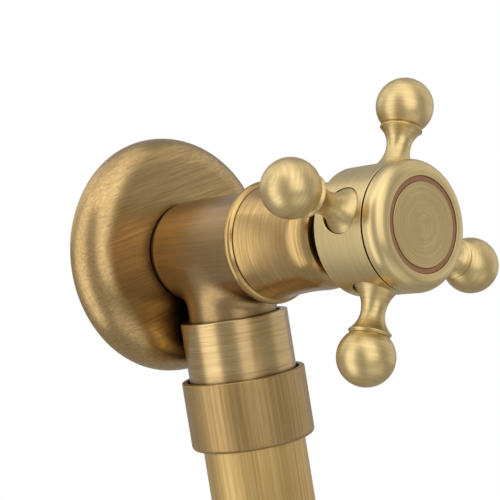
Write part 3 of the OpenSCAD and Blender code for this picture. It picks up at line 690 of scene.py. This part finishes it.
# %% Make the bead and the bell
COLLAR_R = radius("collar_ring")
BELL_R = radius("bonnet_shroud")
collar_mid = (COLLAR_REAR + COLLAR_FRONT) / 2
bead = (COLLAR_FRONT - COLLAR_REAR) / 2 - 0.01
collar_outline = closed(np.concatenate([
    [[NECK_R + NECK_GAP, COLLAR_REAR]],
    arc((COLLAR_R - bead, collar_mid), bead, -90, 64, 24),
    rounded([(COLLAR_R - 0.62 * bead, COLLAR_FRONT - 0.12, 0),
             (COLLAR_R - 0.72 * bead, COLLAR_FRONT, 0.1),
             (NECK_R + NECK_GAP, COLLAR_FRONT, 0)])[1:],
]))
piece("bead", [lathe(collar_outline, BARREL)], "valve", "collar_ring", bell_brass)

BELL_TAPER = 1.55
BELL_FRONT_R = BELL_R - BELL_TAPER
BELL_SHOULDER, BELL_SHOULDER_LEN = 4.25, 6.5
BELL_BORE_R = 8.0
BELL_RECESS, BELL_FACE_REAR, BELL_SHELL_FRONT = 2.2, 3.5, 5.1
REAR_EDGE = 0.25
SHELL = 1.3
waist = np.linspace(0, 1, 15)
bell_sweep = np.stack([
    BELL_R - 0.1 - (BELL_R - 0.1 - BELL_FRONT_R) * (1 - (1 - waist) ** 2.2),
    BELL_REAR + REAR_EDGE + (BELL_FRONT - BELL_SHOULDER_LEN - BELL_REAR - REAR_EDGE) * waist,
], axis=1)
shoulder_angle = np.radians(np.linspace(3, 58, 30))
bell_shoulder = np.stack([
    BELL_FRONT_R - BELL_SHOULDER + BELL_SHOULDER * np.cos(shoulder_angle),
    BELL_FRONT - BELL_SHOULDER_LEN + BELL_SHOULDER_LEN * np.sin(shoulder_angle)], axis=1)
BELL_LIP_R = bell_shoulder[-1, 0]
bell_outline = closed(np.concatenate([
    arc((BELL_R - REAR_EDGE, BELL_REAR + REAR_EDGE), REAR_EDGE, -90, 0, 5),
    bell_sweep,
    bell_shoulder,
    [[BELL_LIP_R - 0.15, BELL_FRONT - BELL_RECESS], [BELL_BORE_R, BELL_FRONT - BELL_RECESS],
     [BELL_BORE_R, BELL_FRONT - BELL_FACE_REAR],
     [BELL_FRONT_R - SHELL, BELL_FRONT - BELL_SHELL_FRONT], [BELL_R - SHELL, BELL_REAR]],
]))
piece("bell", [lathe(bell_outline, BARREL, around=288)], "valve", "bonnet_shroud",
      bell_brass)

# %% [markdown]
# ## The handle
# The hub is a drum with four sockets cut into its side. Each quarter of its skin is a grid
# whose rows go from the bottom of the spoke's threaded hole, out along the hole, over the
# socket's floor, up its wall and on over the drum to a rectangle. Across the drum, a point p to
# the side of the socket's axis stands at the square root of R R - p p from the drum's axis.

# %% Make the hub
SPOKE_OUT = (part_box("spoke_top")[0].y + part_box("spoke_top")[1].y) / -2 / MM
SOCKET_R = 5.15
SOCKET_FLOOR = 12.95
HOLE_R = 3.05
HOLE_FLOOR = 7.9
EDGE = 0.16
MOUTH_R, HUB_BORE_R, SCREW_HOLE_R = 11.1, 6.6, 2.75
WEB_REAR, WEB_FRONT = HUB_FRONT - 4.5, HUB_FRONT - 3.0
SEAM = 0.02
FIRST_SPOKE = math.radians(25)
HUB_SIDE = 40


def spoke_direction(k):
    """The direction of the spoke number k, as a unit vector in the X Z plane, and the direction
    a quarter turn on from it."""
    a = FIRST_SPOKE + k * math.pi / 2
    return np.array([math.sin(a), 0, math.cos(a)]), np.array([math.cos(a), 0, -math.sin(a)])


def hub_quarter(k):
    """The quarter of the hub's skin round spoke k, with its socket and hole."""
    square, circle = square_and_circle(HUB_SIDE)
    low, high = HUB_REAR + EDGE - SPOKE_OUT, HUB_FRONT - EDGE - SPOKE_OUT
    edge = np.stack([HUB_R * np.sin(square[:, 0] * math.pi / 4),
                     low + (high - low) * (square[:, 1] + 1) / 2], axis=1)
    flat, heights = [], []
    for r, height in ((0.0, HOLE_FLOOR), (HOLE_R, HOLE_FLOOR), (HOLE_R, SOCKET_FLOOR - SEAM),
                      (HOLE_R + SEAM, SOCKET_FLOOR), (SOCKET_R - SEAM, SOCKET_FLOOR),
                      (SOCKET_R, SOCKET_FLOOR + SEAM)):
        flat.append(circle * r)
        heights.append(np.full(len(circle), height))
    for r, drop in ((SOCKET_R, 0.07), (SOCKET_R + 0.02, 0.02), (SOCKET_R + 0.07, 0.0)):
        flat.append(circle * r)
        heights.append(np.sqrt(HUB_R**2 - flat[-1][:, 0] ** 2) - drop)
    start = circle * (SOCKET_R + 0.07)
    for share in np.linspace(0, 1, 22)[1:]:
        ring = start + (edge - start) * share
        flat.append(ring)
        heights.append(np.sqrt(HUB_R**2 - ring[:, 0] ** 2))
    flat, heights = np.stack(flat), np.stack(heights)
    out, sideways = spoke_direction(k)
    points = (out * heights[..., None] + sideways * flat[..., :1]
              + np.array([0, -1.0, 0]) * (SPOKE_OUT + flat[..., 1:]))
    uv = np.stack([np.arctan2(flat[..., 0], heights) * 100, flat[..., 1]], axis=-1)
    return flipped(grid(points, uv))


hub_start = math.pi / 2 - FIRST_SPOKE - math.pi / 4
hub_turning = dict(around=4 * HUB_SIDE, start=hub_start, outward=True)
hub_front_face = rounded([
    (HUB_R, HUB_FRONT - EDGE, 0), (HUB_R, HUB_FRONT - SEAM, EDGE * 0.85),
    (MOUTH_R, HUB_FRONT - SEAM, 0.1), (MOUTH_R, WEB_FRONT, 0), (SCREW_HOLE_R, WEB_FRONT, 0),
    (SCREW_HOLE_R, WEB_REAR, 0), (HUB_BORE_R, WEB_REAR, 0), (HUB_BORE_R, HUB_REAR, 0.2),
    (HUB_R, HUB_REAR, EDGE * 0.95), (HUB_R, HUB_REAR + EDGE, 0)])
piece("hub", [hub_quarter(k) for k in range(4)] + [lathe(hub_front_face, BARREL, **hub_turning)],
      "handle", "handle_hub", handle_brass)

# %% [markdown]
# ## The spokes
# Each spoke is turned from bar: a sharp-edged foot, a hollow neck, a thin lip with a bevel,
# and a ball. The neck is two arcs that meet where it is thinnest.

# %% Make the spokes
FOOT_R, WAIST_R, LIP_R, BALL_R = 5.0, 2.65, 4.7, 6.4
STEM_R, STEM_END = 3.0, 8.2
SEAT, LIP_AT, BALL_AT = 13.05, 23.66, 28.4
WAIST_AT = SEAT + 0.56 * (LIP_AT - 0.7 - SEAT)


def hollow(start_r, start_at, waist_r, waist_at, steps):
    """An arc that starts at one radius and runs level along the neck's waist.
    Its radius of curvature is (run run + rise rise) / (2 rise)."""
    run, rise = waist_at - start_at, start_r - waist_r
    curve = (run * run + rise * rise) / (2 * rise)
    along = np.linspace(0, run, steps)
    radii = waist_r + curve - np.sqrt(curve**2 - along**2)
    return np.stack([radii, waist_at - along], axis=1)[::-1]


rear_neck = hollow(FOOT_R, SEAT + 0.22, WAIST_R, WAIST_AT, 22)
front_neck = hollow(LIP_R, LIP_AT - 0.72, WAIST_R, WAIST_AT, 20)[::-1]
ball_start = math.degrees(math.asin((LIP_AT + 0.05 - BALL_AT) / BALL_R))
spoke_outline = np.concatenate([
    [[0, STEM_END], [STEM_R, STEM_END], [STEM_R, SEAT], [FOOT_R - 0.08, SEAT],
     [FOOT_R, SEAT + 0.08]],
    rear_neck, front_neck[1:],
    [[LIP_R, LIP_AT - 0.66], [LIP_R - 0.03, LIP_AT - 0.55], [LIP_R - 0.38, LIP_AT - 0.04],
     [LIP_R - 0.44, LIP_AT]],
    arc((0, BALL_AT), BALL_R, ball_start, 90, 44),
])
for k, name in enumerate(("top", "right", "bottom", "left")):
    out, _ = spoke_direction(k)
    along_spoke = axis_frame((0, -SPOKE_OUT, 0), (0, -1, 0), out)
    centre = np.array([0, -SPOKE_OUT, 0])
    spoke_brass = brushed(
        "spoke_brass_" + name,
        lambda t, c=centre, a=out: round_streaks(t, c, a, along_per_mm=8, around_cells=1.6),
        (0.56, 0.415, 0.18), (0.72, 0.55, 0.26), 0.38, 2.5, anisotropy=0.3, patches=0.1, crease=1)
    piece("spoke_" + name + "_turned", [lathe(spoke_outline, along_spoke, around=144)], "handle",
          "spoke_" + name, spoke_brass)

# %% [markdown]
# ## The cap
# The cap closes the front of the hub. Its face has a round recess that holds a narrow brown
# ring and, inside the ring, a disc with fine circles from the lathe.

# %% Make the cap, the ring and the disc
CAP_REAR = HUB_FRONT + 0.1
CAP_EDGE_R = 3.2
CAP_HOLLOW_R, CAP_PLUG_R, CAP_PLUG_LEN, CAP_WEB = 9, 11, 2.6, 1.4
SPLIT_REAR, SPLIT_FRONT, SPLIT_DEPTH = 0.08, 0.32, 0.9
RING_R, RING_W, RING_DOWN = 10.4, 1.15, 0.35
RECESS = 1.7
RECESS_EDGE, DISC_EDGE = 0.12, 0.14
recess_floor = CAP_FRONT - RECESS
cap_outline = np.concatenate([
    [[0, recess_floor - CAP_WEB], [CAP_HOLLOW_R, recess_floor - CAP_WEB],
     [CAP_HOLLOW_R, CAP_REAR - CAP_PLUG_LEN], [CAP_PLUG_R, CAP_REAR - CAP_PLUG_LEN],
     [CAP_PLUG_R, CAP_REAR + SPLIT_REAR], [HUB_R - SPLIT_DEPTH, CAP_REAR + SPLIT_REAR],
     [HUB_R - SPLIT_DEPTH, CAP_REAR + SPLIT_FRONT], [HUB_R - 0.12, CAP_REAR + SPLIT_FRONT],
     [HUB_R, CAP_REAR + SPLIT_FRONT + 0.12]],
    arc((HUB_R - CAP_EDGE_R, CAP_FRONT - CAP_EDGE_R), CAP_EDGE_R, 0, 90, 36),
    arc((RING_R + RECESS_EDGE, CAP_FRONT - RECESS_EDGE), RECESS_EDGE, 90, 180, 5),
    [[RING_R, recess_floor], [0, recess_floor]],
])
piece("cap", [lathe(cap_outline, BARREL, around=288)], "handle", "handle_cap",
      handle_brass)
ring_outline = closed(np.concatenate([
    [[RING_R - 0.03, recess_floor + 0.02]],
    arc((RING_R - 0.13, CAP_FRONT - RING_DOWN), 0.1, 0, 90, 4),
    arc((RING_R - RING_W + 0.1, CAP_FRONT - RING_DOWN), 0.1, 90, 180, 4),
    [[RING_R - RING_W, recess_floor + 0.02]],
]))
piece("brown_ring", [lathe(ring_outline, BARREL)], "handle", "index_ring",
      index_brown)
DISC_R = radius("centre_disc")
disc_outline = np.concatenate([
    [[0, recess_floor + 0.01], [DISC_R, recess_floor + 0.01]],
    arc((DISC_R - DISC_EDGE, CAP_FRONT - 0.05 - DISC_EDGE), DISC_EDGE, 0, 90, 5),
    [[0, CAP_FRONT - 0.05]],
])
piece("face_disc", [lathe(disc_outline, BARREL)], "handle", "centre_disc",
      face_brass)

# %% [markdown]
# ## The outlet
# Below the branch hang a plain sleeve, the union nut round its lower end, and the pipe.

# %% Make the sleeve, the nut and the pipe
SLEEVE_R, SLEEVE_MOUTH_R, SLEEVE_BORE_R = 13.35, 11.6, 8.5
SLEEVE_THREAD_TOP, SLEEVE_FLOOR = 20.5, 34.1
NUT_WALL = 1.4
NUT_R = radius("union_nut")
NUT_THREAD_R = NUT_R - NUT_WALL
NUT_FLOOR = 2
PIPE_R = radius("column_pipe")
PIPE_WALL = 1.25
sleeve_thread_r, sleeve_step = NUT_THREAD_R - 0.05, NUT_TOP + 1.2
sleeve_outline = rounded([
    (SLEEVE_MOUTH_R, SLEEVE_TOP + 1.8, 0), (SLEEVE_MOUTH_R, SLEEVE_TOP, 0.15),
    (SLEEVE_R, SLEEVE_TOP, 0.22), (SLEEVE_R, sleeve_step, 0), (sleeve_thread_r, sleeve_step, 0.1),
    (sleeve_thread_r, SLEEVE_END, 0.1), (SLEEVE_BORE_R, SLEEVE_END, 0),
    (SLEEVE_BORE_R, SLEEVE_FLOOR, 0), (FEMALE_R, SLEEVE_FLOOR, 0), (FEMALE_R, SLEEVE_THREAD_TOP, 0),
    (SLEEVE_MOUTH_R, SLEEVE_THREAD_TOP, 0), (SLEEVE_MOUTH_R, SLEEVE_TOP + 1.8, 0)])
piece("sleeve", [lathe(sleeve_outline, BRANCH, around=288)], "valve", "adapter_sleeve",
      sleeve_brass)
nut_outline = rounded([
    (NUT_THREAD_R, NUT_TOP + 2, 0), (NUT_THREAD_R, NUT_TOP, 0.2), (NUT_R, NUT_TOP, 0.3),
    (NUT_R, NUT_BOTTOM, 1.1), (PIPE_R + 0.2, NUT_BOTTOM, 0.15),
    (PIPE_R + 0.2, NUT_BOTTOM - NUT_FLOOR, 0), (NUT_THREAD_R, NUT_BOTTOM - NUT_FLOOR, 0),
    (NUT_THREAD_R, NUT_TOP + 2, 0)], steps=8)
piece("nut", [lathe(nut_outline, BRANCH, around=288, brush="along")], "valve", "union_nut",
      nut_brass)
GROOVE_R, GROOVE_W = PIPE_R - 0.55, 1.9
groove_bottom = NUT_BOTTOM - NUT_FLOOR
groove_top = groove_bottom - GROOVE_W
pipe_outline = closed(np.array([
    [PIPE_R - PIPE_WALL, PIPE_TOP], [PIPE_R, PIPE_TOP], [PIPE_R, groove_top],
    [GROOVE_R, groove_top], [GROOVE_R, groove_bottom], [PIPE_R, groove_bottom],
    [PIPE_R, PIPE_END], [PIPE_R - PIPE_WALL, PIPE_END]]))
piece("pipe", [lathe(pipe_outline, BRANCH, around=256, brush="along")], "valve", "column_pipe",
      pipe_brass)

# %% [markdown]
# ## The nipples
# The two nipples carry a half-inch pipe thread: 14 turns to the inch, cut 1.16 mm deep.

# %% Make the threaded nipples
PITCH, THREAD_DEPTH = 25.4 / 14, 1.16


def thread_line(crest, first, last):
    """Points along a thread's crest, ten to a pitch."""
    steps = int((last - first) / PITCH * 10)
    return np.stack([np.full(steps + 1, crest), np.linspace(first, last, steps + 1)], axis=1)


CHAMFER = 0.8
TAIL_END = down_span("pipe_nipple")[1]
TAIL_BORE_R, PLUG_LEN, STOP_RING = 7.5, 12, 2
PLUG_R = PIPE_R - PIPE_WALL - 0.1
tail_thread = (PIPE_END + STOP_RING, TAIL_END - CHAMFER)
tail_outline = closed(np.concatenate([
    [[TAIL_BORE_R, PIPE_END - PLUG_LEN], [PLUG_R, PIPE_END - PLUG_LEN], [PLUG_R, PIPE_END + 0.02],
     [PIPE_R - 0.2, PIPE_END + 0.02], [PIPE_R, PIPE_END + 0.22],
     [PIPE_R, PIPE_END + STOP_RING - 0.2], [PIPE_R - 0.2, PIPE_END + STOP_RING]],
    thread_line(MALE_R, *tail_thread),
    [[MALE_R - CHAMFER, TAIL_END], [TAIL_BORE_R, TAIL_END]],
]))
tail_skin = lathe(tail_outline, BRANCH, around=144, brush="along",
                  thread=(MALE_R, *tail_thread, PITCH, THREAD_DEPTH))
piece("tail_nipple", [tail_skin], "valve", "pipe_nipple", raw_brass)

WALL_R = radius("wall_nipple")
WALL_REAR, WALL_FRONT = out_span("wall_nipple")
RELIEF_START, RELIEF_END, RELIEF_DEPTH = 1.0, 2.4, 0.9
WALL_BORE_R, STRAINER_R, STRAINER_SEAT = 7.0, 8.6, 1.5
wall_thread = (WALL_REAR + CHAMFER, RELIEF_START)
wall_outline = closed(np.concatenate([
    [[STRAINER_R, WALL_REAR], [WALL_R - CHAMFER, WALL_REAR]],
    thread_line(WALL_R, *wall_thread),
    [[WALL_R - RELIEF_DEPTH, RELIEF_START], [WALL_R - RELIEF_DEPTH, RELIEF_END],
     [WALL_R, RELIEF_END], [WALL_R, WALL_FRONT], [WALL_BORE_R, WALL_FRONT],
     [WALL_BORE_R, WALL_REAR + STRAINER_SEAT], [STRAINER_R, WALL_REAR + STRAINER_SEAT]],
]))
wall_skin = lathe(wall_outline, BARREL, around=144, brush="along",
                  thread=(WALL_R, *wall_thread, PITCH, THREAD_DEPTH))
piece("wall_nipple_threaded", [wall_skin], "valve", "wall_nipple", raw_brass)

# %% [markdown]
# ## The pieces that stay as the CAD made them
# Seals, discs, screws and the like are simple turned or stamped pieces. They keep their CAD
# shape and get a finish.

# %% Give the other pieces their finish
FINISH_OF_SLOT = {"brass_raw": raw_brass, "steel": steel, "rubber_black": rubber,
                  "ceramic": ceramic, "nylon_white": nylon, "ptfe_white": nylon}
for part in frame["record"]["subparts"]:
    if part["node"] not in drawn_nodes:
        node_object = frame["nodes"][part["node"]]
        node_object.data.materials.clear()
        node_object.data.materials.append(FINISH_OF_SLOT[part["material_slot"]])

# %% [markdown]
# ## Camera and light
# The camera looks at the handle from the left of the front, a little from above. The studio is
# plain white to the camera, and a weaker even light to everything else, so that the softboxes
# draw the reflections.

# %% Place the camera
CAMERA_AT = (-215.4, -283.4, 12.6)
LOOKING, UPWARD = (0.6522, 0.7569, -0.0419), (0.1475, -0.0725, 0.9864)
FOCAL_LENGTH = 98.57
camera_data = bpy.data.cameras.new("camera")
camera_data.lens = FOCAL_LENGTH
camera_data.sensor_width = 36
camera = bpy.data.objects.new("camera", camera_data)
bpy.context.scene.collection.objects.link(camera)
bpy.context.scene.camera = camera
forward = Vector(LOOKING).normalized()
right = forward.cross(Vector(UPWARD)).normalized()
up = right.cross(forward)
camera.matrix_world = Matrix((
    *((right[i], up[i], -forward[i], CAMERA_AT[i] * MM) for i in range(3)), (0, 0, 0, 1)))

# %% Light the scene
scene = bpy.context.scene
scene.view_settings.view_transform = "Standard"
VALVE_MIDDLE = Vector((0, -0.045, -0.01))


def panel(name, azimuth, elevation, distance, width, height, power):
    """A soft rectangular light that faces the valve's middle. Azimuth 0 shines from in front of
    the wall, and 90 from the left; elevation is above the horizon. Lengths are in millimetres
    and power in watts."""
    a, e = math.radians(azimuth), math.radians(elevation)
    way = Vector((-math.sin(a) * math.cos(e), -math.cos(a) * math.cos(e), math.sin(e)))
    light = bpy.data.lights.new(name, "AREA")
    light.shape = "RECTANGLE"
    light.size, light.size_y = width * MM, height * MM
    light.energy = power
    obj = bpy.data.objects.new(name, light)
    scene.collection.objects.link(obj)
    obj.location = VALVE_MIDDLE + way * distance * MM
    obj.rotation_euler = (-way).to_track_quat("-Z", "Y").to_euler()


# A tall strip from the left gives the rim, the sleeve and the balls their long highlight. The
# others are a box near the camera, a wide one on the right, two above, one low in front and
# one behind the wall.
SURROUND = 0.41
panel("left_strip", 106, 5, 600, 450, 1500, 2.6)
panel("camera_box", 20, 22, 620, 500, 800, 1.6)
panel("right_box", -70, 15, 650, 700, 1100, 1.0)
panel("overhead", 110, 80, 600, 800, 600, 0.9)
panel("front_top", 20, 72, 600, 700, 500, 0.6)
panel("floor_box", 10, -45, 650, 700, 400, 0.4)
panel("behind", 165, 34, 650, 450, 500, 0.45)

world = bpy.data.worlds.new("studio")
world.use_nodes = True
scene.world = world
tree = world.node_tree
surround = tree.nodes["Background"]
surround.inputs["Color"].default_value = (1, 1, 1, 1)
surround.inputs["Strength"].default_value = SURROUND
backdrop = new_node(tree, "ShaderNodeBackground", (0, -200))
backdrop.inputs["Color"].default_value = (1, 1, 1, 1)
backdrop.inputs["Strength"].default_value = 1.0
seen = new_node(tree, "ShaderNodeLightPath", (-200, 300))
mix = new_node(tree, "ShaderNodeMixShader", (250, 100))
tree.links.new(seen.outputs["Is Camera Ray"], mix.inputs["Fac"])
tree.links.new(surround.outputs[0], mix.inputs[1])
tree.links.new(backdrop.outputs[0], mix.inputs[2])
tree.links.new(mix.outputs[0], tree.nodes["World Output"].inputs["Surface"])
